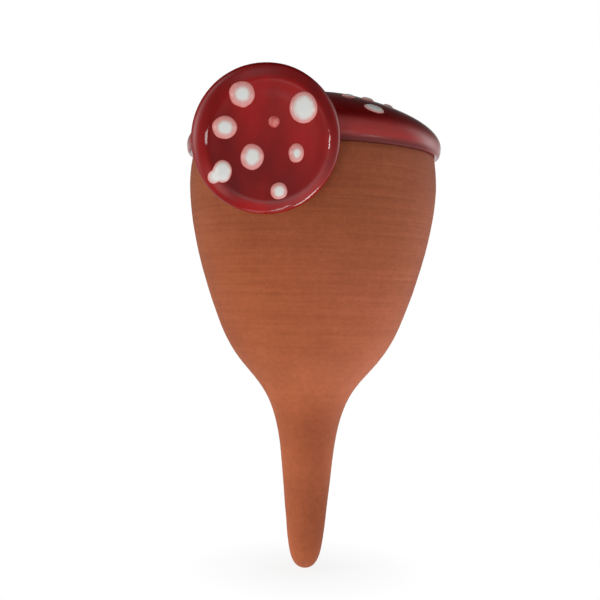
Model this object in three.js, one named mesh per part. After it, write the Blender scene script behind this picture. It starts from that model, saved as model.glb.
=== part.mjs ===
// Irrigation olla: a porous clay bowl that runs into a spike, closed by a red glazed dome like a
// toadstool's cap, with a loose glazed lid for the fill hole. Water put in at the top seeps out
// through the buried, unglazed bowl. The lid is off and leans on the front of the olla.
//
// Millimetres, +Z up, -Y to the front. The origin is on the axis at the soil line, the level of the
// bead's flat underside.
import * as THREE from "three";

// Bowl and spike, from the rim down
const rimRadius = 59.6; // outside of the bowl where the dome is luted on
const wall = 6; // thickness of the bowl and of the dome
const bellyLength = 83.5; // from the rim down to the waist
const bellyPull = 7; // how far the belly's curve is drawn out past the rim
const bellyPullDepth = 30.5; // and how far down
const waistRadius = 44.5;
const waistSlope = 0.41; // radius lost per millimetre down
const waistAbove = 2; // reach of the waist's slope into the belly
const waistBelow = 30; // and into the flare
const flareLength = 66.5; // from the waist down to the spike
const spikeRadius = 12.8; // at the top of the spike
const spikeReach = 44.6; // reach of the spike's slope up into the flare
const taperLength = 30.5; // straight part of the spike
const noseRadius = 9.8; // at the lower end of the straight part
const noseLength = 24; // rounded end of the spike
const noseReach = 14.5; // reach of the spike's slope down into the rounded end
const tipWidth = 7.4; // reach of the blunt tip from the axis
const cavityEnd = 7; // rounded bottom of the hollow, where it runs into the spike

// Dome, bead and fill hole, as glazed
const beadOverhang = 3.35; // how far the widest part of the cap stands out past the bowl's rim
const beadHeight = 4.5; // level of the widest part
const beadFlat = 1.8; // flat underside outside the bowl, which rests on the soil
const beadRound = 2.5; // reach of the bead's lower rounding
const beadRoll = 8.4; // radius of its upper rounding
const rollTurn = THREE.MathUtils.degToRad(23); // how far round that goes
const domeHeight = 23.8; // from the widest part up to the lid's land
const domeReach = 10.3; // reach of the bead's slope into the dome's curve
const domeCrown = 11.5; // reach of the crown's slope into the dome's curve
const crownSlope = 0.31; // at the edge of the lid's land
const holeRadius = 16.5; // fill hole
const holeRound = 2; // rounding between land and hole
const landWidth = 6.5; // flat land around the hole, which the lid sits on
const glazeReach = 2.5; // how far the glaze runs down inside the hole
const glaze = 0.7; // thickness of the glaze coat

// Lid, in its own frame: underside at height 0, face up
const lidRadius = 32;
const lidThickness = 11;
const lidShoulder = 6; // width of the rounded shoulder around the flat face
const lidDrop = 6.5; // height of the shoulder, from the face to the widest part
const lidFoot = 2.5; // how far the underside's edge lies inside the widest part
const lidLip = 1.2; // width of the glaze that turns under the edge
const lidRoundness = 0.62; // fullness of the shoulder's curve
const lidEdgeSlope = 0.5; // fall of the shoulder where it leaves the face at a soft edge
const flangeClearance = 1.3; // between the flange and the fill hole
const flangeHeight = 7;
const flangeWall = 4;

// Place of the lid, taken off and leaning on the front
const lidAcross = -21.8; // middle of its underside, from the axis
const lidLevel = -2;
const lidTurn = THREE.MathUtils.degToRad(12); // to the right
const lidTilt = THREE.MathUtils.degToRad(14); // face down
const restGap = 0.3; // between the lid and what it leans on

// Raised spots, each with its width and length
const spotHeight = 1.1;
const spotGap = 0.2; // between a spot and the glaze under it
// On the lid: place as a share of the flat face's radius; a lobe runs off one side, at an angle
const lidSpots = [
  { across: -0.48, up: 0.71, width: 11.2, length: 10.8 },
  { across: 0.53, up: 0.56, width: 12.5, length: 13.4 },
  { across: -0.73, up: 0.17, width: 10.8, length: 10 },
  { across: 0.06, up: 0.31, width: 5, length: 5.2 },
  { across: -0.26, up: -0.27, width: 10.5, length: 11.5 },
  { across: 0.46, up: -0.17, width: 7.1, length: 8.4 },
  { across: -0.73, up: -0.53, width: 8.4, length: 10, lobe: 0.6, lobeAt: 215 },
  { across: 0.215, up: -0.8, width: 7.6, length: 7.6 },
];
// On the dome: degrees round from the right, and share of the way out from the seated lid to the bead
const capSpots = [
  { round: -60, out: 0.68, width: 10, length: 10 },
  { round: 6, out: 0.58, width: 9, length: 8.6 },
  { round: 38, out: 0.64, width: 10.4, length: 11 },
  { round: 69, out: 0.5, width: 8.5, length: 8 },
  { round: 102, out: 0.66, width: 11.5, length: 11 },
  { round: 138, out: 0.56, width: 9.5, length: 9.8 },
  { round: 173, out: 0.62, width: 11, length: 10 },
  { round: 209, out: 0.53, width: 7.5, length: 8 },
  { round: 246, out: 0.65, width: 10, length: 10.5 },
  { round: -64, out: 0.1, width: 6.5, length: 6.5 },
  { round: -46, out: 0.12, width: 6.4, length: 6.4 },
  { round: -24, out: 0.22, width: 5.4, length: 5.4 },
  { round: 30, out: 0.2, width: 8, length: 8.6 },
  { round: 74, out: 0.16, width: 9.5, length: 9 },
  { round: 117, out: 0.24, width: 7.4, length: 7.8 },
  { round: 158, out: 0.18, width: 10, length: 10 },
  { round: 203, out: 0.17, width: 8.6, length: 8.2 },
  { round: 252, out: 0.24, width: 9.2, length: 9.6 },
];

// Facets round the axis, and steps along the curves that carry spots
const ollaFacets = 40;
const lidFacets = 32;
const spotFacets = 12;
const rollSteps = 2;
const domeSteps = 6;
const shoulderSteps = 5;

const clayFinish = { color: 0xa65f43, roughness: 0.9, metalness: 0 };
const glazeFinish = { color: 0x7d1b1e, roughness: 0.12, metalness: 0 };
const spotFinish = { color: 0xe8d3cc, roughness: 0.2, metalness: 0 };

// A point of a profile, given by radius and height, and a point in space
const at = (radius, height) => new THREE.Vector2(radius, height);
const at3 = (x, y, z) => new THREE.Vector3(x, y, z);
const line = (from, to) => new THREE.LineCurve(from, to);
const curve = (...controls) => new THREE.CubicBezierCurve(...controls);

// Points along a row of curves, each with its number of steps, with shared ends kept once
function outline(...stretches) {
  const points = stretches.flatMap(([stretch, steps]) => stretch.getPoints(steps));
  return points.filter((point, i) => i === 0 || point.distanceTo(points[i - 1]) > 1e-6);
}

// The same outline moved to its left by a distance, which is inwards on one that runs up the outside
function inset(points, distance) {
  return points.map((point, i) => {
    const before = points[Math.max(i - 1, 0)];
    const after = points[Math.min(i + 1, points.length - 1)];
    const along = after.clone().sub(before).normalize();
    return at(point.x - along.y * distance, point.y + along.x * distance);
  });
}

// A solid turned from a profile, about the Z axis
function turned(profile, facets) {
  return new THREE.LatheGeometry(profile, facets).rotateX(Math.PI / 2);
}

function piece(name, geometry, finish) {
  const mesh = new THREE.Mesh(geometry, new THREE.MeshStandardMaterial(finish));
  mesh.name = name;
  return mesh;
}

// Bowl and spike
const waist = at(waistRadius, -bellyLength);
const spike = at(spikeRadius, waist.y - flareLength);
const nose = at(noseRadius, spike.y - taperLength);
const tipHeight = nose.y - noseLength;
const taperSlope = (spikeRadius - noseRadius) / taperLength;
const bowlRim = at(rimRadius, 0);
const mouthEdge = at(rimRadius - wall, 0);

const noseCurve = curve(
  at(0, tipHeight),
  at(tipWidth, tipHeight),
  at(noseRadius - taperSlope * noseReach, nose.y - noseReach),
  nose,
);
const flareCurve = curve(
  spike,
  at(spikeRadius + taperSlope * spikeReach, spike.y + spikeReach),
  at(waistRadius - waistSlope * waistBelow, waist.y - waistBelow),
  waist,
);
const bellyCurve = curve(
  waist,
  at(waistRadius + waistSlope * waistAbove, waist.y + waistAbove),
  at(rimRadius + bellyPull, -bellyPullDepth),
  bowlRim,
);
const bowlOutside = outline([noseCurve, 4], [line(nose, spike), 1], [flareCurve, 7], [bellyCurve, 6]);

// The hollow keeps the wall's thickness under flare and belly, and ends level with the rim
const bowlHollow = inset(outline([flareCurve, 5], [bellyCurve, 5]), wall);
bowlHollow[bowlHollow.length - 1] = mouthEdge;
const throat = bowlHollow[0];
const hollowEnd = new THREE.EllipseCurve(0, throat.y, throat.x, cavityEnd, -Math.PI / 2, 0);
const hollow = outline([hollowEnd, 3]).slice(0, -1).concat(bowlHollow);
const reservoirBowl = turned([...bowlOutside, ...hollow.reverse()], ollaFacets);

// Outer skin of the cap: under the bead, up over the dome, across the land and into the fill hole
const beadRadius = rimRadius + beadOverhang;
const landHeight = beadHeight + domeHeight;
const landRadius = holeRadius + holeRound + landWidth;
const flatEdge = at(rimRadius + beadFlat, 0);
const bead = at(beadRadius, beadHeight);
const landEdge = at(landRadius, landHeight);
const holeEdge = at(holeRadius + holeRound, landHeight);
const holeTop = at(holeRadius, landHeight - holeRound);
const glazeEnd = at(holeRadius, holeTop.y - glazeReach);
const beadCurve = curve(
  flatEdge,
  at((flatEdge.x + beadRadius) / 2, 0),
  at(beadRadius, beadHeight - beadRound),
  bead,
);
const crown = at(landRadius + domeCrown, landHeight - domeCrown * crownSlope);
const rollCurve = new THREE.EllipseCurve(beadRadius - beadRoll, beadHeight, beadRoll, beadRoll, 0, rollTurn);
const rollEnd = rollCurve.getPoint(1);
const rollSlope = at(-Math.sin(rollTurn), Math.cos(rollTurn));
const shoulder = rollEnd.clone().addScaledVector(rollSlope, domeReach);
const domeCurve = curve(rollEnd, shoulder, crown, landEdge);
const holeCurve = new THREE.EllipseCurve(
  holeEdge.x, holeTop.y, holeRound, holeRound, Math.PI / 2, Math.PI,
);
const capSkin = outline(
  [line(bowlRim, flatEdge), 1],
  [beadCurve, 3],
  [rollCurve, rollSteps],
  [domeCurve, domeSteps],
  [line(landEdge, holeEdge), 1],
  [holeCurve, 3],
  [line(holeTop, glazeEnd), 1],
);
const domeSkin = outline([rollCurve, rollSteps], [domeCurve, domeSteps]);
const capClay = inset(capSkin, glaze);
const capGlaze = turned([...capSkin, ...capClay.toReversed(), capSkin[0]], ollaFacets);

// Clay of the cap, as thick as the wall at the crown and flush with the bowl's mouth inside
const holeFoot = at(holeRadius + glaze, landHeight - wall);
const vaultTop = at(landRadius, landHeight - wall);
const vaultCurve = curve(
  vaultTop,
  at(crown.x, crown.y - wall),
  at(mouthEdge.x, shoulder.y - wall),
  mouthEdge,
);
const capInside = outline([line(holeFoot, vaultTop), 1], [vaultCurve, 5]);
const capDome = turned([...capClay, ...capInside, bowlRim, capClay[0]], ollaFacets);

// Lid, in its own frame
const lidWidest = at(lidRadius, lidThickness - lidDrop);
const lidFace = at(lidRadius - lidShoulder, lidThickness);
const underEdge = at(lidRadius - lidFoot, 0);
const lipEnd = at(underEdge.x - lidLip, 0);
const edgeCurve = curve(
  underEdge,
  at(lidRadius - lidFoot / 4, 0),
  at(lidRadius, lidWidest.y / 2),
  lidWidest,
);
const shoulderReach = lidRoundness * lidShoulder;
const shoulderCurve = curve(
  lidWidest,
  at(lidRadius, lidWidest.y + lidRoundness * lidDrop),
  at(lidFace.x + shoulderReach, lidThickness - shoulderReach * lidEdgeSlope),
  lidFace,
);
const lidTop = outline([shoulderCurve, shoulderSteps], [line(lidFace, at(0, lidThickness)), 1]);
const lidSkin = outline([line(lipEnd, underEdge), 1], [edgeCurve, 3]).slice(0, -1).concat(lidTop);
const lidClay = inset(lidSkin, glaze);
const lidGlaze = turned([...lidSkin, ...lidClay.toReversed(), lidSkin[0]], lidFacets);

// The flange drops into the fill hole and has a round end
const flangeRadius = holeRadius - flangeClearance;
const flangeRound = flangeWall / 2;
const flangeCurve = new THREE.EllipseCurve(
  flangeRadius - flangeRound, flangeRound - flangeHeight, flangeRound, flangeRound, Math.PI, 2 * Math.PI,
);
const lidUnderside = [
  at(0, 0),
  at(flangeRadius - flangeWall, 0),
  ...flangeCurve.getPoints(4),
  at(flangeRadius, 0),
  lipEnd,
];
const lidDisc = turned([...lidUnderside, ...lidClay], lidFacets);

// Outer radius of the olla at a height, 0 above and below it
const ollaOutside = [...bowlOutside, ...capSkin];
function radiusAt(height) {
  const above = ollaOutside.findIndex((point) => point.y > height);
  if (above < 1) return 0;
  const [low, high] = [ollaOutside[above - 1], ollaOutside[above]];
  return THREE.MathUtils.mapLinear(height, low.y, high.y, low.x, high.x);
}

// How far in front of the axis the lid has to stand to clear the olla, at rest and while it is lifted
// in its own plane until all of it is above the land
function lidStandOff(rotation) {
  const liftDirection = at3(0, 1, 0).applyEuler(rotation);
  const liftEnd = (landHeight - lidLevel) / liftDirection.z + lidRadius;
  let standOff = 0;
  for (const { x: radius, y: height } of [...lidUnderside, ...lidSkin])
    for (let facet = 0; facet < lidFacets; facet += 1) {
      const angle = (2 * Math.PI * facet) / lidFacets;
      const start = at3(radius * Math.cos(angle), radius * Math.sin(angle), height).applyEuler(rotation);
      for (let lift = 0; lift <= liftEnd; lift += 1) {
        const point = start.clone().addScaledVector(liftDirection, lift);
        const clear = radiusAt(lidLevel + point.z) + restGap;
        const across = Math.abs(lidAcross + point.x);
        if (across < clear) standOff = Math.max(standOff, Math.sqrt(clear ** 2 - across ** 2) + point.y);
      }
    }
  return standOff;
}

// Height of a skin at a radius and its upward normal; the skin's points run from the outside in
function skinAt(skin, radius) {
  const inner = Math.max(1, skin.findIndex((point) => point.x <= radius));
  const [low, high] = [skin[inner - 1], skin[inner]];
  const along = high.clone().sub(low).normalize();
  const height = THREE.MathUtils.mapLinear(radius, low.x, high.x, low.y, high.y);
  return { height, normal: at(along.y, -along.x) };
}

// A low blob that follows the skin under it, drawn out on one side if it has a lobe
function spotGeometry(skin, centre, { width, length, lobe = 0, lobeAt = 0 }) {
  const blob = new THREE.EllipseCurve(0, 0, 1, 1, 0, Math.PI / 2);
  const underside = line(at(0, 0), at(1, 0));
  const geometry = turned(outline([underside, 4], [blob, 3]), spotFacets);
  const places = geometry.getAttribute("position");
  const lobeAngle = THREE.MathUtils.degToRad(lobeAt);
  const foreshortening = skinAt(skin, centre.length()).normal.y;
  for (let i = 0; i < places.count; i += 1) {
    const place = at(places.getX(i), places.getY(i));
    const swell = 1 + lobe * Math.max(0, Math.cos(place.angle() - lobeAngle)) ** 8;
    place.multiply(at((foreshortening * width) / 2, length / 2)).multiplyScalar(swell).add(centre);
    const { height, normal } = skinAt(skin, place.length());
    const rise = spotGap + spotHeight * places.getZ(i);
    const spread = 1 + (rise * normal.x) / place.length();
    places.setXYZ(i, place.x * spread, place.y * spread, height + rise * normal.y);
  }
  return geometry;
}

const spotName = (owner, i) => `${owner}_spot_${String(i + 1).padStart(2, "0")}`;

const olla = new THREE.Group();
olla.add(piece("reservoir_bowl", reservoirBowl, clayFinish));
olla.add(piece("cap_dome", capDome, clayFinish));
olla.add(piece("cap_glaze", capGlaze, glazeFinish));
capSpots.forEach((spot, i) => {
  const centre = at(THREE.MathUtils.lerp(lidRadius, beadRadius, spot.out), 0);
  const mesh = piece(spotName("cap", i), spotGeometry(domeSkin, centre, spot), spotFinish);
  mesh.rotation.z = THREE.MathUtils.degToRad(spot.round);
  olla.add(mesh);
});

const lid = new THREE.Group();
lid.rotation.set(Math.PI / 2 + lidTilt, 0, lidTurn, "ZXY");
lid.position.set(lidAcross, -lidStandOff(lid.rotation), lidLevel);
lid.add(piece("lid_disc", lidDisc, clayFinish));
lid.add(piece("lid_glaze", lidGlaze, glazeFinish));
lidSpots.forEach((spot, i) => {
  const centre = at(spot.across, spot.up).multiplyScalar(lidFace.x);
  lid.add(piece(spotName("lid", i), spotGeometry(lidTop, centre, spot), spotFinish));
});

const part = new THREE.Group();
part.add(olla, lid);

export default part;
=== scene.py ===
# Looks of the irrigation olla: a matte clay bowl that runs into a spike, a glossy red cap and lid,
# and raised white spots. The sizes are in millimetres, as in the CAD, and the scene is in metres.
import math

import bpy
from mathutils import Matrix, Vector, noise


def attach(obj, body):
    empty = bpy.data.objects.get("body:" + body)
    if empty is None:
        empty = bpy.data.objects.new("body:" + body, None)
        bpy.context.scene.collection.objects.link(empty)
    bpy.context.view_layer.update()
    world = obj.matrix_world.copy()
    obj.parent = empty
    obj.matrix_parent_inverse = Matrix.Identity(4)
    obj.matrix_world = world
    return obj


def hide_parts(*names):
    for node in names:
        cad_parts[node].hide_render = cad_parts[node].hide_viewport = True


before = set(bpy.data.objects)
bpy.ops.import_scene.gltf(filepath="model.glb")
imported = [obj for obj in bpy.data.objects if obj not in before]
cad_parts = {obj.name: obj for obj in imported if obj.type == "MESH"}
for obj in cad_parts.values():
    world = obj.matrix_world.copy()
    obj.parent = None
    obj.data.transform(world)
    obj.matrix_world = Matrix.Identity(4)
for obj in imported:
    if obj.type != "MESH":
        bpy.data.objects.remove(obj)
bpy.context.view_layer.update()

MM = 0.001

# Bowl and spike, from the rim down
RIM_RADIUS = 59.6
WALL = 6
BELLY_LENGTH = 83.5
BELLY_PULL = 7
BELLY_PULL_DEPTH = 30.5
WAIST_RADIUS = 44.5
WAIST_SLOPE = 0.41
WAIST_ABOVE = 2
WAIST_BELOW = 30
FLARE_LENGTH = 66.5
SPIKE_RADIUS = 12.8
SPIKE_REACH = 44.6
TAPER_LENGTH = 30.5
NOSE_RADIUS = 9.8
NOSE_LENGTH = 24
NOSE_REACH = 14.5
TIP_WIDTH = 7.4
CAVITY_END = 7

# Dome, bead and fill hole, as glazed
BEAD_OVERHANG = 3.35
BEAD_HEIGHT = 4.5
BEAD_FLAT = 1.8
BEAD_ROUND = 2.5
BEAD_ROLL = 8.4
ROLL_TURN = 23
DOME_HEIGHT = 23.8
DOME_REACH = 10.3
DOME_CROWN = 11.5
CROWN_SLOPE = 0.31
HOLE_RADIUS = 16.5
HOLE_ROUND = 2
LAND_WIDTH = 6.5
GLAZE_REACH = 2.5
GLAZE = 0.7

# Lid, in its own frame: underside at height 0, face up
LID_RADIUS = 32
LID_THICKNESS = 11
LID_SHOULDER = 6
LID_DROP = 6.5
LID_FOOT = 2.5
LID_LIP = 1.2
LID_ROUNDNESS = 0.62
LID_EDGE_SLOPE = 0.5
LID_EDGE_ROUND = 3.4  # softening of the edge between face and shoulder
LID_DISH = 0.12  # how far the face sinks, just inside its edge
LID_DISH_WIDTH = 1 / 3  # of the face's radius, from its edge in
LID_WAVE = 0.16  # unevenness of the face
LID_WAVE_LENGTH = 15
LID_WAVE_SEED = 2.5
FLANGE_CLEARANCE = 1.3
FLANGE_HEIGHT = 7
FLANGE_WALL = 4
LID_TURN = math.radians(12)
LID_TILT = math.radians(14)

# Raised spots. The middle of a spot on the lid lies across and up the face, as shares of the face's
# radius. On the cap it lies round the dome by an angle in degrees, and out from the lid's radius
# towards the bead by a share of the way. The core is the share of a spot's radius that is white.
# A lobe is a round bulge, given by how far out its middle lies, its angle in degrees and its radius;
# both lengths are shares of the spot's radius. Thin is the share of the white that is missing.
SPOT_HEIGHT = 1.0
SPOT_SINK = 0.2  # how far a spot's edge lies in the glaze
SPOT_BASE = 1.5 * SPOT_SINK  # and how far its underside does
SPOT_FLAT = 2.4  # a higher number makes the top flatter
SPOT_STEEP = 0.6  # a lower number makes the edge steeper
SPOT_WOBBLE = 0.06  # unevenness of the outline, as a share of the radius
SPOT_WOBBLE_CHANGE = 1.1  # how quickly that changes around the spot
SPOT_SEED_STEP = 5.3
CAP_SPOT_SEED = 20  # seed of the cap's first spot; the lid's first has 0
LOBE_BLEND = 9  # a higher number makes the notch between a spot and its lobe sharper
LID_SPOTS = [
    {"across": -0.48, "up": 0.71, "width": 11.2, "length": 10.8, "core": 0.52,
     "lobe": (0.72, -78, 0.22)},
    {"across": 0.53, "up": 0.56, "width": 12.5, "length": 13.4, "core": 0.72},
    {"across": -0.73, "up": 0.17, "width": 10.8, "length": 10, "core": 0.54},
    {"across": 0.06, "up": 0.31, "width": 5, "length": 5.2, "core": 0.05, "thin": 0.85},
    {"across": -0.26, "up": -0.27, "width": 10.5, "length": 11.5, "core": 0.57},
    {"across": 0.46, "up": -0.17, "width": 7.1, "length": 8.4, "core": 0.42},
    {"across": -0.73, "up": -0.53, "width": 8.4, "length": 10, "core": 0.8,
     "lobe": (1.02, 213, 0.6)},
    {"across": 0.215, "up": -0.8, "width": 7.6, "length": 7.6, "core": 0.56},
]
CAP_SPOTS = [
    {"round": -60, "out": 0.68, "width": 10, "length": 10, "core": 0.86},
    {"round": 6, "out": 0.58, "width": 9, "length": 8.6, "core": 0.6},
    {"round": 38, "out": 0.64, "width": 10.4, "length": 11, "core": 0.55},
    {"round": 69, "out": 0.5, "width": 8.5, "length": 8, "core": 0.5},
    {"round": 102, "out": 0.66, "width": 11.5, "length": 11, "core": 0.66},
    {"round": 138, "out": 0.56, "width": 9.5, "length": 9.8, "core": 0.52},
    {"round": 173, "out": 0.62, "width": 11, "length": 10, "core": 0.62},
    {"round": 209, "out": 0.53, "width": 7.5, "length": 8, "core": 0.45},
    {"round": 246, "out": 0.65, "width": 10, "length": 10.5, "core": 0.6},
    {"round": -64, "out": 0.1, "width": 6.5, "length": 6.5, "core": 0.8},
    {"round": -46, "out": 0.12, "width": 6.4, "length": 6.4, "core": 0.8},
    {"round": -24, "out": 0.22, "width": 5.4, "length": 5.4, "core": 0.8},
    {"round": 30, "out": 0.2, "width": 8, "length": 8.6, "core": 0.5},
    {"round": 74, "out": 0.16, "width": 9.5, "length": 9, "core": 0.58},
    {"round": 117, "out": 0.24, "width": 7.4, "length": 7.8, "core": 0.4},
    {"round": 158, "out": 0.18, "width": 10, "length": 10, "core": 0.62},
    {"round": 203, "out": 0.17, "width": 8.6, "length": 8.2, "core": 0.55},
    {"round": 252, "out": 0.24, "width": 9.2, "length": 9.6, "core": 0.6},
]

# Fineness of the meshes
OLLA_FACETS = 192
LID_FACETS = 160
SPOT_FACETS = 48
SPOT_RINGS = 12

# Handwork in the clay and the glaze
THROWING_DEPTH = 0.05  # of the fine rings left by the fingers on the wheel
THROWING_PITCH = 1.9
THROWING_CHANGE = 0.9  # how quickly they change around the pot
BAND_DEPTH = 0.09  # of the broader bands
BAND_PITCH = 9
BAND_CHANGE = 0.5
GLAZE_WAVE = 0.05  # unevenness of the glaze coat
GLAZE_WAVE_LENGTH = 13

# Clay: where its colour and surface change, in millimetres, and how much
SHADE_FALLS = (-95, -15)  # heights between which it gets darker, a painted shade towards the cap
RIM_SHADE = 0.78  # its level above the upper one; below the lower one it is 1
STREAKS_START = (-115, -70)  # heights between which the streaks from the wheel come in
STREAK_SHARES = (0.12, 0.5)  # share of the streaks in the colour, below and above them
LINE_STRENGTHS = (0.15, 0.6)  # and strength of the lines in the surface
LINE_DEPTH = 0.3
GRAIN_SHARE = 0.35  # share of the fine grain in the colour
GRAIN_DEPTH = 0.12
MOTTLE_TONES = (0.92, 1.04)  # levels of the darker and the lighter mottles
WARM_LIGHT_SIDE = (-45, 30)  # from the left, where painted warm light makes it more orange, to right of the middle
WARM_LIGHT_TINT = (1, 0.96, 0.79, 1)

# Glaze: where the coat has painted light or shade, or is dull, in millimetres
CAP_LIGHTENS = (14, 7)  # heights between which the dome's painted shade turns into a painted reflection
CAP_SIDE = (30, 60)  # ways to the right between which that painted light gets weaker again
CAP_SIDE_SHARE = 0.45  # and by which share
CAP_DULL_SHADE = (4, 0.6)  # heights between which its lower edge turns dull, and darker as painted shade
CAP_SHINES = (46, 60)  # ways to both sides between which that edge gets less dull and less shaded again
CAP_SHINE_SHARE = 0.5
LID_LIGHTENS = (-33, 33)  # from the face's lower left to its upper right, where a painted reflection lightens it
LID_LIGHTENS_ACROSS = 0.5  # weight of the way across in that, against the way up
LID_EDGE_BLEND = (-1, 2)  # from inside the face's edge to outside it, where the ring begins
RING_LIGHTENING = 0.28  # painted light on the ring around the face
RING_LIGHTENING_DOWN = 0.5  # more of it at the bottom, as light from below
RING_LIGHTENING_LEFT = 0.1  # more of it on the left
LID_DRIES = (7.5, 5)  # heights between which the lid's edge turns dull
COAT_ROUGHNESS = (0.07, 0.5)  # where the coat is glossy, and where it is dull
COAT_SHINE = (0.5, 0.15)
COAT_RIPPLE = 0.4  # depth of its fine ripples
COAT_RIPPLE_STRENGTH = 0.12

# Stage. Each soft light lies in a direction given by its height above the level and its turn from the
# right-hand side, both in degrees, falls to a half of its level at its width, and shines from far away.
# Reaches up and back are parts of a direction's unit vector.
FLOOR_RADIUS = 60
FLOOR_FACETS = 64
FLOOR_TONE = 0.86
FLOOR_WHITE = 0.86  # share of plain white in the floor's middle; it is all white at its edge
FLOOR_GLOW = 0.8  # share of the floor's white that also lights the object
EVEN_LIGHT = 0.2
DARK_ROOF = 0.93  # share of the even light that is missing above and behind
ROOF_UP = (0.1, 0.45)  # reaches up between which the roof gets dark
ROOF_BACK = (-0.3, 0.3)  # and reaches back
BACKDROP_BACK = (0.7, 1)  # reaches back between which shiny surfaces mirror a white backdrop
BACKDROP_UP = 0.2  # how far that backdrop reaches above and below the level
SOFT_LIGHTS = [
    {"height": 0, "turn": 187, "width": 22, "level": 2.8},
    {"height": -53, "turn": 230, "width": 12, "level": 1.2},
    {"height": 47, "turn": 190, "width": 16, "level": 1.0},
    {"height": -30, "turn": 42, "width": 28, "level": 0.6},
    {"height": -42, "turn": 330, "width": 19, "level": 1.3},
    {"height": -48, "turn": 288, "width": 14, "level": 0.85},
    {"height": 5, "turn": 29, "width": 14, "level": 1.3},
    {"height": 0, "turn": 45, "width": 20, "level": 0.2},
    {"height": 25, "turn": 20, "width": 13, "level": 0.65},
    {"height": 40, "turn": 275, "width": 15, "level": 0.5},
    {"height": -5, "turn": 297, "width": 8, "level": 0.7},
    {"height": -8, "turn": 90, "width": 14, "level": 1.5},
]
# Lamps that show as sharp lights in the glaze: straight strips between two ends, in metres
LAMPS = {
    "key_left": {
        "ends": ((-0.28, -0.81, -0.33), (-0.28, -0.81, -0.17)), "width": 0.24, "power": 1.05,
    },
    "key_right": {
        "ends": ((0.62, -0.53, -0.26), (0.62, -0.53, -0.16)), "width": 0.16, "power": 0.65,
    },
    "tube_near": {
        "ends": ((0.02, 0.085, -0.67), (0.345, -0.097, -0.67)), "width": 0.08, "power": 0.5,
    },
    "tube_far": {
        "ends": ((0.391, 0.259, -0.664), (0.802, 0.161, -0.664)), "width": 0.22, "power": 2.0,
    },
}
LAMP_AIM = (0, -0.06, -0.04)  # the point that they face, in metres

# Camera, as fitted to the photograph's outline
LENS = 60
SENSOR = 36
CAMERA_PLACE = (-5.2, -500, -71)
CAMERA_ROLL = math.radians(1.25)


# Curves

def line(start, end, steps=1):
    """Points of a straight stretch, given by radius and height."""
    return [
        tuple(a + (b - a) * i / steps for a, b in zip(start, end))
        for i in range(steps + 1)
    ]


def curve(p0, p1, p2, p3, steps):
    """Points of a cubic stretch."""
    points = []
    for i in range(steps + 1):
        t = i / steps
        weights = ((1 - t) ** 3, 3 * t * (1 - t) ** 2, 3 * t * t * (1 - t), t ** 3)
        points.append(tuple(
            sum(w * p[axis] for w, p in zip(weights, (p0, p1, p2, p3))) for axis in range(2)
        ))
    return points


def arc(centre, radii, start, end, steps):
    """Points of a round stretch, between two angles in degrees."""
    angles = [math.radians(start + (end - start) * i / steps) for i in range(steps + 1)]
    return [
        (centre[0] + radii[0] * math.cos(a), centre[1] + radii[1] * math.sin(a)) for a in angles
    ]


def outline(*stretches):
    """One row of points, with the shared ends kept once."""
    points = []
    for stretch in stretches:
        points += [p for p in stretch if not points or math.dist(p, points[-1]) > 1e-6]
    return points


def inset(points, distance):
    """The outline moved to its left, which is inwards on one that runs up the outside."""
    moved = []
    for i, (radius, height) in enumerate(points):
        before = points[max(i - 1, 0)]
        after = points[min(i + 1, len(points) - 1)]
        length = math.dist(before, after)
        along = ((after[0] - before[0]) / length, (after[1] - before[1]) / length)
        moved.append((radius - along[1] * distance, height + along[0] * distance))
    return moved


def normals_of(points):
    """Outward direction at each point of an outline that runs up the outside."""
    directions = []
    for i in range(len(points)):
        before = points[max(i - 1, 0)]
        after = points[min(i + 1, len(points) - 1)]
        length = math.dist(before, after) or 1
        directions.append(((after[1] - before[1]) / length, (before[0] - after[0]) / length))
    return directions


# Meshes

def turned(profile, facets, rise=None):
    """Points and faces of a profile turned about the Z axis, each point moved out by a rise."""
    closed = math.dist(profile[0], profile[-1]) < 1e-6
    loop = profile[:-1] if closed else profile
    points, rings, faces = [], [], []
    for (radius, height), (out, up) in zip(loop, normals_of(loop)):
        count = facets if radius > 1e-6 else 1
        rings.append(range(len(points), len(points) + count))
        for facet in range(count):
            angle = 2 * math.pi * facet / facets
            moved = rise(radius, height, angle) if rise and count > 1 else 0
            reach = radius + out * moved
            points.append((reach * math.cos(angle), reach * math.sin(angle), height + up * moved))
    follow = rings[1:] + rings[:1] if closed else rings[1:]
    for low, high in zip(rings, follow):
        for facet in range(facets):
            beside = (facet + 1) % facets
            corners = [
                low[facet % len(low)], low[beside % len(low)],
                high[beside % len(high)], high[facet % len(high)],
            ]
            faces.append(list(dict.fromkeys(corners)))
    return points, faces


def add_piece(name, points, faces, material, place=None):
    """A smooth mesh object from points in millimetres, put in its place."""
    to_frame = place or Matrix.Identity(4)
    mesh = bpy.data.meshes.new(name)
    mesh.from_pydata([to_frame @ (Vector(p) * MM) for p in points], [], faces)
    mesh.validate()
    mesh.shade_smooth()
    mesh.materials.append(material)
    piece = bpy.data.objects.new(name, mesh)
    bpy.context.scene.collection.objects.link(piece)
    return piece


def mark(piece, name, values):
    """A number for each point of the piece, for its material."""
    attribute = piece.data.attributes.new(name, "FLOAT", "POINT")
    attribute.data.foreach_set("value", values)


def ease(value, start, end):
    """0 up to the start, 1 from the end on, and a soft change between."""
    share = min(1, max(0, (value - start) / (end - start)))
    return share * share * (3 - 2 * share)


def dress(piece, body, node):
    """The piece takes the CAD node's place on its body."""
    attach(piece, body)
    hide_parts(node)


# Materials

def srgb(red, green, blue):
    """A colour written as 0 to 255, in linear light."""
    shares = [c / 255 for c in (red, green, blue)]
    linear = [s / 12.92 if s <= 0.04045 else ((s + 0.055) / 1.055) ** 2.4 for s in shares]
    return (*linear, 1)


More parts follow.
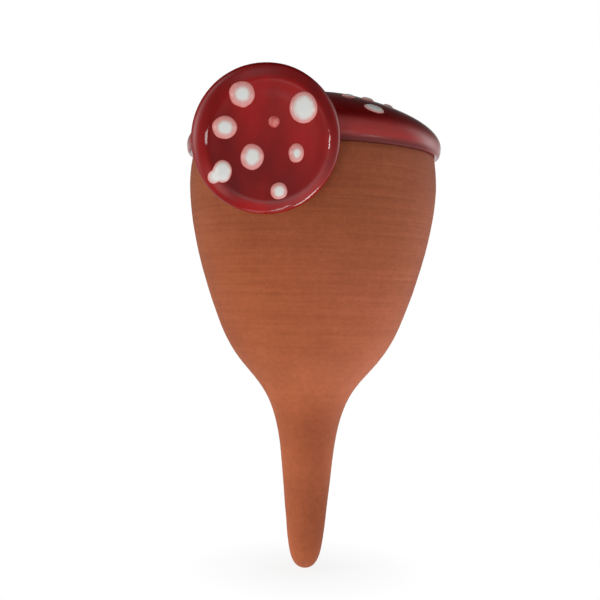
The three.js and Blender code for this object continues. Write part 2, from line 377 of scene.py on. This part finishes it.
class Tree:
    """A node tree with short ways to add to it; an input that is a socket gets a link."""

    def __init__(self, owner):
        owner.use_nodes = True
        self.nodes = owner.node_tree.nodes
        self.links = owner.node_tree.links

    def add(self, kind, inputs=None, **settings):
        node = self.nodes.new(kind)
        for key, value in settings.items():
            setattr(node, key, value)
        for key, value in (inputs or {}).items():
            self.set(node.inputs[key], value)
        return node

    def set(self, socket, value):
        if isinstance(value, bpy.types.NodeSocket):
            self.links.new(value, socket)
        else:
            socket.default_value = value

    def math(self, operation, first, second=0.0):
        return self.add("ShaderNodeMath", {0: first, 1: second}, operation=operation).outputs[0]

    def noise(self, scale, stretch=(1, 1, 1), detail=3.0, roughness=0.55, shift=(0, 0, 0)):
        """Noise in the piece's own space, with a scale in features per metre."""
        place = self.add("ShaderNodeTexCoord").outputs["Object"]
        laid = {"Vector": place, "Scale": stretch, "Location": shift}
        spread = self.add("ShaderNodeMapping", laid).outputs[0]
        inputs = {"Vector": spread, "Scale": scale, "Detail": detail, "Roughness": roughness}
        return self.add("ShaderNodeTexNoise", inputs).outputs["Fac"]

    def ramp(self, factor, stops):
        """Colours along a factor, each stop with its place."""
        node = self.add("ShaderNodeValToRGB", {"Fac": factor})
        marks = node.color_ramp.elements
        while len(marks) < len(stops):
            marks.new(0.5)
        for stop, (place, colour) in zip(marks, stops):
            stop.position = place
            stop.color = colour
        return node.outputs["Color"]

    def mix(self, factor, first, second, blend="MIX"):
        """A mix of two colours; the numbers are those of the node's colour sockets."""
        inputs = {0: factor, 6: first, 7: second}
        return self.add("ShaderNodeMix", inputs, data_type="RGBA", blend_type=blend).outputs[2]

    def graded(self, value, start, end, first, last):
        """A soft change from a first to a last level while the value runs from start to end."""
        inputs = {0: value, 1: start, 2: end, 3: first, 4: last}
        return self.add("ShaderNodeMapRange", inputs, interpolation_type="SMOOTHSTEP").outputs[0]

    def along(self, direction):
        """How far a point of the piece lies along a direction, in metres."""
        place = self.add("ShaderNodeTexCoord").outputs["Object"]
        return self.dot(place, direction)

    def dot(self, first, second):
        node = self.add("ShaderNodeVectorMath", {0: first, 1: second}, operation="DOT_PRODUCT")
        return node.outputs["Value"]

    def painted(self, name):
        """A number that the piece's points carry."""
        return self.add("ShaderNodeAttribute", attribute_name=name).outputs["Fac"]

    def toned(self, colour, level):
        """The colour made lighter or darker by a level."""
        return self.add("ShaderNodeHueSaturation", {"Color": colour, "Value": level}).outputs[0]

    def bump(self, height, distance, strength=1.0, below=None):
        inputs = {"Height": height, "Distance": distance, "Strength": strength}
        if below:
            inputs["Normal"] = below
        return self.add("ShaderNodeBump", inputs).outputs[0]


def grey(level):
    """A colour without hue, in linear light."""
    return (level, level, level, 1)


def new_material(name):
    """A material with its node tree and its shader."""
    material = bpy.data.materials.new(name)
    tree = Tree(material)
    return material, tree, tree.nodes["Principled BSDF"]


def terracotta():
    """Unglazed fired clay: matte, a little blotchy, with faint level streaks from the wheel."""
    material, tree, shader = new_material("terracotta")
    height = tree.along((0, 0, 1))
    belly = tree.graded(height, *(z * MM for z in STREAKS_START), 0, 1)

    blotches = tree.noise(28, detail=4, shift=(3, 1, 2))
    blotch_colour = tree.ramp(blotches, [(0.3, srgb(166, 87, 56)), (0.7, srgb(193, 106, 70))])
    streaks = tree.noise(16, stretch=(1, 1, 30), detail=5, roughness=0.65)
    streak_colour = tree.ramp(streaks, [(0.3, srgb(160, 83, 53)), (0.7, srgb(194, 107, 71))])
    colour = tree.mix(tree.graded(belly, 0, 1, *STREAK_SHARES), blotch_colour, streak_colour)
    grain = tree.noise(1400, detail=2)
    grain_tone = tree.ramp(grain, [(0.35, grey(0.85)), (0.65, grey(1.1))])
    colour = tree.mix(GRAIN_SHARE, colour, grain_tone, "MULTIPLY")
    mottles = tree.noise(400, detail=3, roughness=0.7)
    colour = tree.toned(colour, tree.graded(mottles, 0.3, 0.7, *MOTTLE_TONES))
    # painted shade: the clay gets darker towards the cap, where the lid and cap shade it
    colour = tree.toned(colour, tree.graded(height, *(z * MM for z in SHADE_FALLS), 1.0, RIM_SHADE))
    # painted warm light: the clay is more orange on the left
    side = tree.graded(tree.along((1, 0, 0)), *(x * MM for x in WARM_LIGHT_SIDE), 0, 1)
    painted_warm_light = tree.ramp(side, [(0, WARM_LIGHT_TINT), (1, grey(1))])
    tree.set(shader.inputs["Base Color"], tree.mix(1, colour, painted_warm_light, "MULTIPLY"))

    fine = tree.bump(grain, GRAIN_DEPTH * MM)
    lines = tree.noise(14, stretch=(1, 1, 60), detail=5)
    strength = tree.graded(belly, 0, 1, *LINE_STRENGTHS)
    tree.set(shader.inputs["Normal"], tree.bump(lines, LINE_DEPTH * MM, strength, fine))
    shader.inputs["Roughness"].default_value = 0.9
    shader.inputs["Specular IOR Level"].default_value = 0.2
    shader.inputs["Sheen Weight"].default_value = 0.08
    return material


def red_glaze(name, tones, pale, edge_colour):
    """Glossy deep red glaze, lighter and paler where painted light is marked, dull where its edge is
    marked.
    """
    material, tree, shader = new_material(name)
    depth = tree.noise(75, stretch=(1, 1, 0.35), detail=3)
    reds = [(0.3, srgb(120, 3, 5)), (0.5, srgb(139, 4, 6)), (0.7, srgb(154, 8, 10))]
    colour = tree.ramp(depth, reds)
    painted_light = tree.painted("painted_light")
    # painted light and shade: lighter and paler where marked, darker where not
    colour = tree.mix(tree.math("MULTIPLY", painted_light, pale), colour, srgb(168, 60, 58))
    colour = tree.toned(colour, tree.graded(painted_light, 0, 1, *tones))
    dull_edge = tree.painted("dull_edge")
    # edge colour: on the cap a painted shade under the bead, on the lid a plain red
    tree.set(shader.inputs["Base Color"], tree.mix(dull_edge, colour, edge_colour))
    tree.set(shader.inputs["Roughness"], tree.graded(dull_edge, 0, 1, *COAT_ROUGHNESS))
    tree.set(shader.inputs["Specular IOR Level"], tree.graded(dull_edge, 0, 1, *COAT_SHINE))
    ripples = tree.bump(tree.noise(260, detail=1), COAT_RIPPLE * MM, COAT_RIPPLE_STRENGTH)
    tree.set(shader.inputs["Normal"], ripples)
    shader.inputs["IOR"].default_value = 1.46
    return material


def white_spots():
    """Trailed white glaze: white where it lies thick, pink where the red shows through at the edge."""
    material, tree, shader = new_material("white_spots")
    tint = tree.painted("tint")
    uneven = tree.graded(tree.noise(420, detail=2), 0, 1, -0.08, 0.08)
    colour = tree.ramp(
        tree.math("ADD", tint, uneven),
        [
            (0.0, srgb(236, 240, 237)),
            (0.36, srgb(239, 237, 233)),
            (0.49, srgb(228, 205, 199)),
            (0.6, srgb(231, 166, 161)),
            (0.82, srgb(231, 150, 145)),
            (0.94, srgb(224, 130, 123)),
            (1.0, srgb(205, 80, 76)),
        ],
    )
    tree.set(shader.inputs["Base Color"], colour)
    shader.inputs["Roughness"].default_value = 0.26
    shader.inputs["IOR"].default_value = 1.5
    return material


CLAY = terracotta()
# Cap: painted shade on the crown, a painted reflection along the bead, painted shade under it
CAP_RED = red_glaze("cap_red", tones=(0.68, 1.1), pale=0.9, edge_colour=srgb(104, 40, 40))
# Lid: a painted reflection on the face's upper right, painted light from below on the ring
LID_RED = red_glaze("lid_red", tones=(0.78, 1.25), pale=0.1, edge_colour=srgb(146, 12, 13))
WHITE = white_spots()


# Bowl and spike

def clay_rise(radius, height, angle):
    """Throwing rings and broader bands, which fade in and out around the pot."""
    around = Vector((math.cos(angle), math.sin(angle), 0))
    fine = noise.noise(around * THROWING_CHANGE + Vector((0, 0, height / THROWING_PITCH)))
    aside = Vector((7, 3, height / BAND_PITCH))  # so that the bands don't follow the rings
    broad = noise.noise(around * BAND_CHANGE + aside)
    return fine * THROWING_DEPTH + broad * BAND_DEPTH


waist = (WAIST_RADIUS, -BELLY_LENGTH)
spike = (SPIKE_RADIUS, waist[1] - FLARE_LENGTH)
nose = (NOSE_RADIUS, spike[1] - TAPER_LENGTH)
tip_height = nose[1] - NOSE_LENGTH
taper_slope = (SPIKE_RADIUS - NOSE_RADIUS) / TAPER_LENGTH
bowl_rim = (RIM_RADIUS, 0)
mouth_edge = (RIM_RADIUS - WALL, 0)


def bowl_curves(nose_steps, taper_steps, flare_steps, belly_steps):
    """The bowl's outside from the tip up to the rim, in four stretches."""
    nose_curve = curve(
        (0, tip_height),
        (TIP_WIDTH, tip_height),
        (NOSE_RADIUS - taper_slope * NOSE_REACH, nose[1] - NOSE_REACH),
        nose,
        nose_steps,
    )
    flare = curve(
        spike,
        (SPIKE_RADIUS + taper_slope * SPIKE_REACH, spike[1] + SPIKE_REACH),
        (WAIST_RADIUS - WAIST_SLOPE * WAIST_BELOW, waist[1] - WAIST_BELOW),
        waist,
        flare_steps,
    )
    belly = curve(
        waist,
        (WAIST_RADIUS + WAIST_SLOPE * WAIST_ABOVE, waist[1] + WAIST_ABOVE),
        (RIM_RADIUS + BELLY_PULL, -BELLY_PULL_DEPTH),
        bowl_rim,
        belly_steps,
    )
    return nose_curve, line(nose, spike, taper_steps), flare, belly


def make_bowl():
    """The clay bowl and spike, with the hollow that follows their outside down to the throat."""
    outside = outline(*bowl_curves(nose_steps=50, taper_steps=56, flare_steps=150, belly_steps=150))
    coarse = bowl_curves(nose_steps=8, taper_steps=8, flare_steps=24, belly_steps=24)
    hollow = inset(outline(*coarse[2:]), WALL)
    hollow[-1] = mouth_edge
    throat = hollow[0]
    end = arc((0, throat[1]), (throat[0], CAVITY_END), -90, 0, 8)
    inside = outline(end, hollow)[::-1]
    profile = outline(outside, line(bowl_rim, mouth_edge, 6), inside)
    points, faces = turned(profile, OLLA_FACETS, clay_rise)
    bowl = add_piece("clay_bowl", points, faces, CLAY)
    dress(bowl, "olla", "reservoir_bowl")


# Cap

bead_radius = RIM_RADIUS + BEAD_OVERHANG
land_height = BEAD_HEIGHT + DOME_HEIGHT
land_radius = HOLE_RADIUS + HOLE_ROUND + LAND_WIDTH
crown = (land_radius + DOME_CROWN, land_height - DOME_CROWN * CROWN_SLOPE)
land_edge = (land_radius, land_height)


def glaze_rise(radius, height, angle):
    """The coat's slow unevenness."""
    place = Vector((radius * math.cos(angle), radius * math.sin(angle), height))
    return GLAZE_WAVE * noise.noise(place / GLAZE_WAVE_LENGTH)


roll = math.radians(ROLL_TURN)
roll_middle = (bead_radius - BEAD_ROLL, BEAD_HEIGHT)
roll_end = (
    roll_middle[0] + BEAD_ROLL * math.cos(roll),
    roll_middle[1] + BEAD_ROLL * math.sin(roll),
)
shoulder = (roll_end[0] - DOME_REACH * math.sin(roll), roll_end[1] + DOME_REACH * math.cos(roll))


def dome_curve():
    """From the widest part over the bead's rounding and up to the lid's land."""
    rounding = arc(roll_middle, (BEAD_ROLL, BEAD_ROLL), 0, ROLL_TURN, 14)
    return outline(rounding, curve(roll_end, shoulder, crown, land_edge, 60))


def cap_skin():
    """Outer skin: under the bead, up over the dome, across the land and into the fill hole."""
    flat_edge = (RIM_RADIUS + BEAD_FLAT, 0)
    bead_curve = curve(
        flat_edge,
        ((flat_edge[0] + bead_radius) / 2, 0),
        (bead_radius, BEAD_HEIGHT - BEAD_ROUND),
        (bead_radius, BEAD_HEIGHT),
        24,
    )
    hole_edge = (HOLE_RADIUS + HOLE_ROUND, land_height)
    hole_top = land_height - HOLE_ROUND
    return outline(
        line(bowl_rim, flat_edge, 4),
        bead_curve,
        dome_curve(),
        line(land_edge, hole_edge, 8),
        arc((hole_edge[0], hole_top), (HOLE_ROUND, HOLE_ROUND), 90, 180, 10),
        line((HOLE_RADIUS, hole_top), (HOLE_RADIUS, hole_top - GLAZE_REACH), 4),
    )


def cap_painted_light(x, z):
    """Painted shade on the crown and a painted reflection down the dome, less of it on the right."""
    return ease(z, *CAP_LIGHTENS) * (1 - CAP_SIDE_SHARE * ease(x, *CAP_SIDE))


def cap_dull_shade(x, z):
    """The coat's lower edge is dull and painted in shade, but less so at both sides."""
    return ease(z, *CAP_DULL_SHADE) * (1 - CAP_SHINE_SHARE * ease(abs(x), *CAP_SHINES))


def make_cap():
    """The red coat over the dome, and the clay dome under it."""
    skin = cap_skin()
    under = inset(skin, GLAZE)
    points, faces = turned(skin + under[::-1] + skin[:1], OLLA_FACETS, glaze_rise)
    coat = add_piece("red_cap", points, faces, CAP_RED)
    # painted shade on the crown and a painted reflection along the bead, for the colour
    mark(coat, "painted_light", [cap_painted_light(x, z) for x, y, z in points])
    mark(coat, "dull_edge", [cap_dull_shade(x, z) for x, y, z in points])
    dress(coat, "olla", "cap_glaze")

    hole_foot = (HOLE_RADIUS + GLAZE, land_height - WALL)
    vault_top = (land_radius, land_height - WALL)
    vault = curve(
        vault_top,
        (crown[0], crown[1] - WALL),
        (mouth_edge[0], shoulder[1] - WALL),
        mouth_edge,
        36,
    )
    inside = outline(line(hole_foot, vault_top, 4), vault)
    points, faces = turned(under + inside + [bowl_rim, under[0]], OLLA_FACETS)
    clay = add_piece("clay_dome", points, faces, CLAY)
    dress(clay, "olla", "cap_dome")


# Lid

def lid_place():
    """From the lid's own frame to where the CAD lid leans."""
    turn = Matrix.Rotation(LID_TURN, 4, "Z") @ Matrix.Rotation(math.pi / 2 + LID_TILT, 4, "X")
    level = turn.inverted()
    corners = [level @ v.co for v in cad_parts["lid_disc"].data.vertices]
    middle = [(min(c[i] for c in corners) + max(c[i] for c in corners)) / 2 for i in range(2)]
    underside = min(c.z for c in corners) + FLANGE_HEIGHT * MM
    return Matrix.Translation(turn @ Vector((*middle, underside))) @ turn


lid_face = (LID_RADIUS - LID_SHOULDER, LID_THICKNESS)
lid_widest = (LID_RADIUS, LID_THICKNESS - LID_DROP)


def lid_top():
    """The lid's upper skin from its widest part in to the axis, with the face's edge softened."""
    reach = LID_ROUNDNESS * LID_SHOULDER
    shoulder = curve(
        lid_widest,
        (LID_RADIUS, lid_widest[1] + LID_ROUNDNESS * LID_DROP),
        (lid_face[0] + reach, LID_THICKNESS - reach * LID_EDGE_SLOPE),
        lid_face,
        48,
    )
    kept = [p for p in shoulder if math.dist(p, lid_face) > LID_EDGE_ROUND]
    face_start = (lid_face[0] - LID_EDGE_ROUND, LID_THICKNESS)
    edge = curve(kept[-1], lid_face, lid_face, face_start, 14)
    return outline(kept, edge, line(face_start, (0, LID_THICKNESS), 40))


def lid_rise(radius, height, angle):
    """The coat's unevenness, and the slight dish of the face."""
    inner = min(1, max(0, (lid_face[0] - radius) / lid_face[0]))
    dish = math.sin(math.pi * min(1, inner / LID_DISH_WIDTH)) ** 2
    across = Vector((radius * math.cos(angle), radius * math.sin(angle), 0))
    wave = LID_WAVE * noise.noise(across / LID_WAVE_LENGTH + Vector((0, 0, LID_WAVE_SEED)))
    return glaze_rise(radius, height, angle) + wave - LID_DISH * dish


def lid_painted_light(x, y):
    """Painted light: a reflection towards the face's upper right, and light down around the ring."""
    radius = math.hypot(x, y)
    face = ease(LID_LIGHTENS_ACROSS * x + y, *LID_LIGHTENS)
    ring = RING_LIGHTENING + (RING_LIGHTENING_DOWN * max(0, -y) - RING_LIGHTENING_LEFT * x) / max(radius, 1)
    return face + (ring - face) * ease(radius - lid_face[0], *LID_EDGE_BLEND)


def make_lid(place):
    """The red coat over the lid, and the clay lid with its flange."""
    under_edge = (LID_RADIUS - LID_FOOT, 0)
    lip_end = (under_edge[0] - LID_LIP, 0)
    edge = curve(
        under_edge,
        (LID_RADIUS - LID_FOOT / 4, 0),
        (LID_RADIUS, lid_widest[1] / 2),
        lid_widest,
        18,
    )
    skin = outline(line(lip_end, under_edge, 3), edge, lid_top())
    under = inset(skin, GLAZE)
    under[-1] = (0, LID_THICKNESS - GLAZE)
    points, faces = turned(outline(skin, under[::-1], skin[:1]), LID_FACETS, lid_rise)
    coat = add_piece("red_lid", points, faces, LID_RED, place)
    # painted reflection on the face and painted light on the ring, for the colour
    mark(coat, "painted_light", [lid_painted_light(x, y) for x, y, z in points])
    mark(coat, "dull_edge", [ease(z, *LID_DRIES) for x, y, z in points])
    dress(coat, "lid", "lid_glaze")

    flange = HOLE_RADIUS - FLANGE_CLEARANCE
    half = FLANGE_WALL / 2
    underside = outline(
        line((0, 0), (flange - FLANGE_WALL, 0), 8),
        line((flange - FLANGE_WALL, 0), (flange - FLANGE_WALL, half - FLANGE_HEIGHT), 6),
        arc((flange - half, half - FLANGE_HEIGHT), (half, half), 180, 360, 16),
        line((flange, half - FLANGE_HEIGHT), (flange, 0), 6),
        line((flange, 0), lip_end, 8),
    )
    points, faces = turned(outline(underside, under), LID_FACETS)
    clay = add_piece("clay_lid", points, faces, CLAY, place)
    dress(clay, "lid", "lid_disc")


# Spots

def skin_at(skin, radius):
    """Height of a skin at a radius and its upward normal; the skin runs from the outside in."""
    inner = next((i for i, p in enumerate(skin) if p[0] <= radius), len(skin) - 1)
    low, high = skin[max(inner, 1) - 1], skin[max(inner, 1)]
    share = (radius - low[0]) / (high[0] - low[0])
    length = math.dist(low, high)
    normal = ((high[1] - low[1]) / length, (low[0] - high[0]) / length)
    return low[1] + share * (high[1] - low[1]), normal


def spot_edge(spot, angle, seed):
    """How far the spot reaches at an angle, as a share of its plain oval."""
    around = Vector((math.cos(angle), math.sin(angle), 0))
    wobble = noise.noise(around * SPOT_WOBBLE_CHANGE + Vector((0, 0, SPOT_SEED_STEP * seed)))
    reach = 1 + SPOT_WOBBLE * wobble
    out, lobe_at, size = spot.get("lobe", (0, 0, 0))
    aside = out * math.sin(angle - math.radians(lobe_at))
    ahead = out * math.cos(angle - math.radians(lobe_at))
    if ahead > 0 and abs(aside) < size:
        lobe = ahead + math.sqrt(size ** 2 - aside ** 2)
        reach = (reach ** LOBE_BLEND + lobe ** LOBE_BLEND) ** (1 / LOBE_BLEND)
    return reach


def spot_tint(spot, share):
    """From 0 for white in the middle, over a half at the core's edge, to 1 for red at the edge."""
    core = spot["core"]
    tint = 0.5 * share / core if share < core else 0.5 + 0.5 * (share - core) / (1 - core)
    return 1 - (1 - tint) * (1 - spot.get("thin", 0))


def add_spot(name, skin, centre, spot, seed, place):
    """A low blob that follows the skin under it, closed underneath."""
    foreshortening = skin_at(skin, math.hypot(*centre))[1][1]
    half = (foreshortening * spot["width"] / 2, spot["length"] / 2)
    top = [(i / SPOT_RINGS, True) for i in range(SPOT_RINGS + 1)]
    below = [(2 / 3, False), (1 / 3, False), (0, False)]
    points, rings, tints = [], [], []
    for share, upper in top + below:
        count = SPOT_FACETS if share > 0 else 1
        rings.append(range(len(points), len(points) + count))
        pillow = (1 - share ** SPOT_FLAT) ** SPOT_STEEP
        rise = (SPOT_HEIGHT + SPOT_SINK) * pillow - SPOT_SINK if upper else -SPOT_BASE
        tint = spot_tint(spot, share) if upper else 1.0
        for facet in range(count):
            angle = 2 * math.pi * facet / SPOT_FACETS
            reach = share * spot_edge(spot, angle, seed)
            x = centre[0] + reach * half[0] * math.cos(angle)
            y = centre[1] + reach * half[1] * math.sin(angle)
            radius = math.hypot(x, y)
            height, normal = skin_at(skin, radius)
            spread = 1 + rise * normal[0] / radius
            points.append((x * spread, y * spread, height + rise * normal[1]))
            tints.append(tint)
    faces = []
    for inner, outer in zip(rings, rings[1:]):
        for facet in range(SPOT_FACETS):
            beside = (facet + 1) % SPOT_FACETS
            corners = [
                inner[facet % len(inner)], outer[facet % len(outer)],
                outer[beside % len(outer)], inner[beside % len(inner)],
            ]
            faces.append(list(dict.fromkeys(corners)))
    piece = add_piece(name, points, faces, WHITE, place)
    mark(piece, "tint", tints)
    return piece


def make_spots(place):
    """The spots on the lid's face and those on the dome."""
    face = lid_top()
    for i, spot in enumerate(LID_SPOTS):
        node = f"lid_spot_{i + 1:02d}"
        centre = (spot["across"] * lid_face[0], spot["up"] * lid_face[0])
        piece = add_spot(f"white_{node}", face, centre, spot, i, place)
        dress(piece, "lid", node)
    dome = dome_curve()
    for i, spot in enumerate(CAP_SPOTS):
        node = f"cap_spot_{i + 1:02d}"
        centre = (LID_RADIUS + spot["out"] * (bead_radius - LID_RADIUS), 0)
        turn = Matrix.Rotation(math.radians(spot["round"]), 4, "Z")
        piece = add_spot(f"white_{node}", dome, centre, spot, CAP_SPOT_SEED + i, turn)
        dress(piece, "olla", node)


place_of_lid = lid_place()
make_bowl()
make_cap()
make_lid(place_of_lid)
make_spots(place_of_lid)


# Stage

def make_floor():
    """A pale floor under the tip: it keeps the shadow, and runs out to white for the camera."""
    material = bpy.data.materials.new("pale_floor")
    tree = Tree(material)
    tree.nodes.remove(tree.nodes["Principled BSDF"])
    place = tree.add("ShaderNodeNewGeometry").outputs["Position"]
    tip = (0, 0, tip_height * MM)
    away = tree.add("ShaderNodeVectorMath", {0: place, 1: tip}, operation="DISTANCE")
    reach = {0: away.outputs["Value"], 1: 0.0, 2: FLOOR_RADIUS * MM, 3: FLOOR_WHITE, 4: 1.0}
    clear = tree.add("ShaderNodeMapRange", reach)
    rays = tree.add("ShaderNodeLightPath").outputs
    seen = tree.math("MAXIMUM", rays["Is Camera Ray"], rays["Is Glossy Ray"])
    seen = tree.math("MAXIMUM", seen, rays["Is Transmission Ray"])
    seen = tree.math("MAXIMUM", seen, FLOOR_GLOW)
    factor = tree.math("MULTIPLY", seen, clear.outputs[0])
    matte = tree.add("ShaderNodeBsdfDiffuse", {"Color": grey(FLOOR_TONE)})
    white = tree.add("ShaderNodeEmission", {"Color": grey(1), "Strength": 1.0})
    mixed = tree.add("ShaderNodeMixShader", {0: factor, 1: matte.outputs[0], 2: white.outputs[0]})
    below = tree.add("ShaderNodeNewGeometry").outputs["Backfacing"]
    through = tree.add("ShaderNodeBsdfTransparent")
    top_only = tree.add("ShaderNodeMixShader", {0: below, 1: mixed.outputs[0], 2: through.outputs[0]})
    tree.links.new(top_only.outputs[0], tree.nodes["Material Output"].inputs["Surface"])
    mesh = bpy.data.meshes.new("floor")
    points, faces = turned([(FLOOR_RADIUS, tip_height), (0, tip_height)], FLOOR_FACETS)
    mesh.from_pydata([Vector(p) * MM for p in points], [], faces)
    mesh.materials.append(material)
    floor = bpy.data.objects.new("floor", mesh)
    bpy.context.scene.collection.objects.link(floor)


def direction_of(height, turn):
    """Unit vector from a height above the level and a turn from the right, in degrees."""
    up = math.radians(height)
    around = math.radians(turn)
    return (math.cos(up) * math.cos(around), math.cos(up) * math.sin(around), math.sin(up))


def make_world():
    """Soft lights in an even, dim room with a dark roof; the backdrop is white to the camera."""
    world = bpy.data.worlds.new("studio")
    bpy.context.scene.world = world
    tree = Tree(world)
    direction = tree.add("ShaderNodeTexCoord").outputs["Generated"]
    axes = tree.add("ShaderNodeSeparateXYZ", {0: direction}).outputs
    roof = tree.graded(axes["Z"], *ROOF_UP, 0, 1)
    roof = tree.math("MULTIPLY", roof, tree.graded(axes["Y"], *ROOF_BACK, 0, 1))
    level = tree.graded(roof, 0, 1, EVEN_LIGHT, EVEN_LIGHT * (1 - DARK_ROOF))
    for light in SOFT_LIGHTS:
        towards = direction_of(light["height"], light["turn"])
        near = tree.dot(direction, towards)
        sharpness = math.log(2) / (1 - math.cos(math.radians(light["width"])))
        fall = tree.math("MULTIPLY", tree.math("SUBTRACT", near, 1.0), sharpness)
        glow = tree.math("MULTIPLY", tree.math("EXPONENT", fall), light["level"])
        level = tree.math("ADD", level, glow)
    backdrop = tree.graded(axes["Y"], *BACKDROP_BACK, 0, 1)
    backdrop = tree.math("MULTIPLY", backdrop, tree.graded(axes["Z"], 0, BACKDROP_UP, 1, 0))
    backdrop = tree.math("MULTIPLY", backdrop, tree.graded(axes["Z"], -BACKDROP_UP, 0, 0, 1))
    rays = tree.add("ShaderNodeLightPath").outputs
    shiny = tree.math("MAXIMUM", rays["Is Glossy Ray"], rays["Is Transmission Ray"])
    seen = tree.math("MAXIMUM", rays["Is Camera Ray"], tree.math("MULTIPLY", shiny, backdrop))
    tree.set(tree.nodes["Background"].inputs["Color"], tree.mix(seen, level, grey(1)))


def add_lamp(name, ends, width, power):
    """A flat strip light between two ends, turned towards the object."""
    start = Vector(ends[0])
    end = Vector(ends[1])
    along = (end - start).normalized()
    middle = (start + end) / 2
    back = middle - Vector(LAMP_AIM)
    back = (back - back.dot(along) * along).normalized()
    lamp = bpy.data.lights.new(name, "AREA")
    lamp.shape = "RECTANGLE"
    lamp.size = (end - start).length
    lamp.size_y = width
    lamp.energy = power
    strip = bpy.data.objects.new(name, lamp)
    turn = Matrix((along, back.cross(along), back)).transposed()
    strip.matrix_world = Matrix.Translation(middle) @ turn.to_4x4()
    strip.visible_camera = False
    bpy.context.scene.collection.objects.link(strip)


def make_camera():
    """A level camera, rolled a little as in the photograph."""
    camera = bpy.data.cameras.new("camera")
    camera.lens = LENS
    camera.sensor_width = SENSOR
    holder = bpy.data.objects.new("camera", camera)
    holder.matrix_world = (
        Matrix.Translation(Vector(CAMERA_PLACE) * MM)
        @ Matrix.Rotation(math.pi / 2, 4, "X")
        @ Matrix.Rotation(CAMERA_ROLL, 4, "Z")
    )
    bpy.context.scene.collection.objects.link(holder)
    bpy.context.scene.camera = holder


make_floor()
make_world()
for name, lamp in LAMPS.items():
    add_lamp(name, **lamp)
make_camera()
bpy.context.scene.view_settings.view_transform = "Standard"
